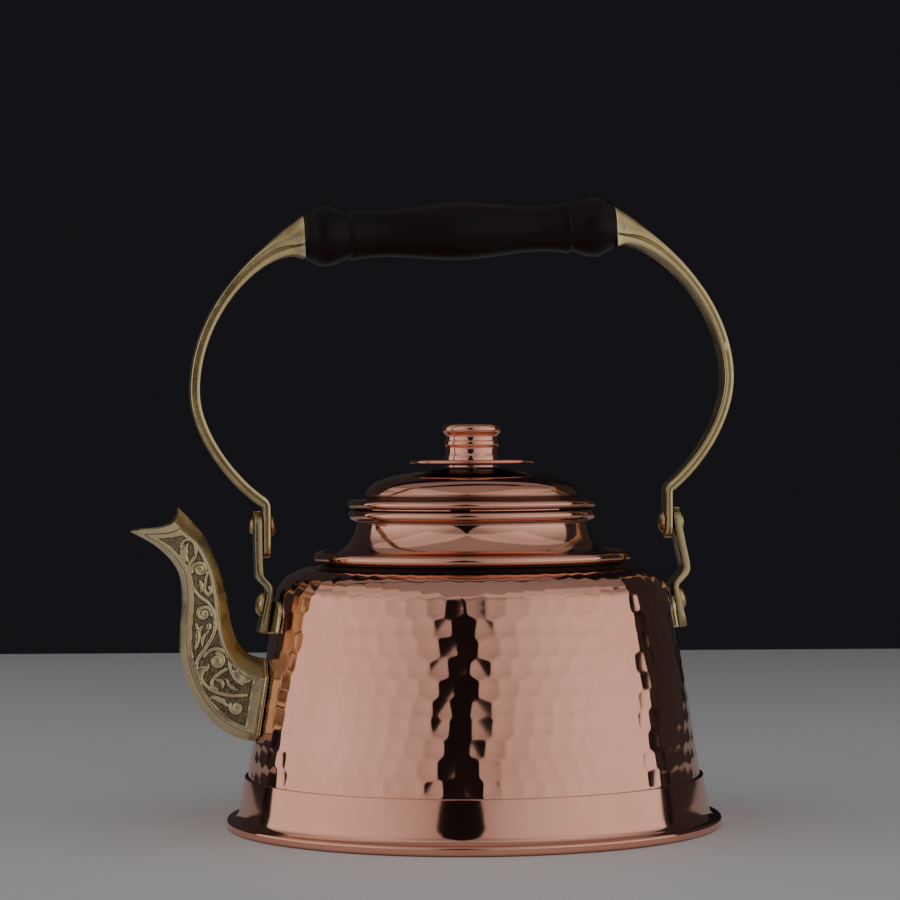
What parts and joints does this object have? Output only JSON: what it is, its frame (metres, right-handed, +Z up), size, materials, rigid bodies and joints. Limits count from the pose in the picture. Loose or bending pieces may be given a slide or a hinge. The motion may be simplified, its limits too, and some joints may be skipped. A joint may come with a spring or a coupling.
{
  "type": "stovetop kettle",
  "caption": "Hammered copper stovetop kettle with a cast curved spout, a lift-off lid with a knob, and a swinging bow handle with a turned grip.",
  "frame": {"origin": "centre of the base on the surface that the kettle stands on", "axes": "+Z up; the spout points to -X; the handle's pivot axis runs along X"},
  "size_m": [0.247, 0.2, 0.2543],
  "materials": {
    "copper_hammered": "polished copper with shallow hammer marks",
    "copper_polished": "polished copper",
    "brass_antique": "antique brass, rubbed bright on the edges",
    "brass_spout": "engraved antique brass with a dark patina in the ground",
    "dark_wood": "dark lacquered, turned",
    "steel": "plain"
  },
  "bodies": {
    "kettle": {"body_shell": "copper_hammered", "foot_band": "copper_polished", "bottom_plate": "copper_polished", "neck_collar": "copper_polished", "spout_half_near": "brass_spout", "spout_half_far": "brass_spout", "lug_plate_left": "brass_antique", "lug_plate_right": "brass_antique", "lug_strap_left": "brass_antique", "lug_strap_right": "brass_antique", "lug_rivet_left": "brass_antique", "lug_rivet_right": "brass_antique", "lug_burr_left": "brass_antique", "lug_burr_right": "brass_antique", "pivot_rivet_left": "brass_antique", "pivot_rivet_right": "brass_antique"},
    "lid": {"lid_shell": "copper_polished", "lid_skirt": "copper_polished", "knob_foot": "copper_polished", "knob_disc": "copper_polished", "knob": "copper_polished", "knob_screw": "steel", "knob_washer": "steel"},
    "handle": {"arm_left": "brass_antique", "arm_right": "brass_antique", "arm_pin_left": "steel", "arm_pin_right": "steel", "grip": "dark_wood", "grip_rod": "steel"}
  },
  "joints": [
    {"name": "handle_swing", "type": "hinge", "parent": "kettle", "child": "handle", "pos_m": [0, 0, 0.121], "axis": [1, 0, 0], "range_deg": [-110, 110]},
    {"name": "lid_lift", "type": "slide", "parent": "kettle", "child": "lid", "axis": [0, 0, 1], "range_m": [0, 0.055]}
  ]
}
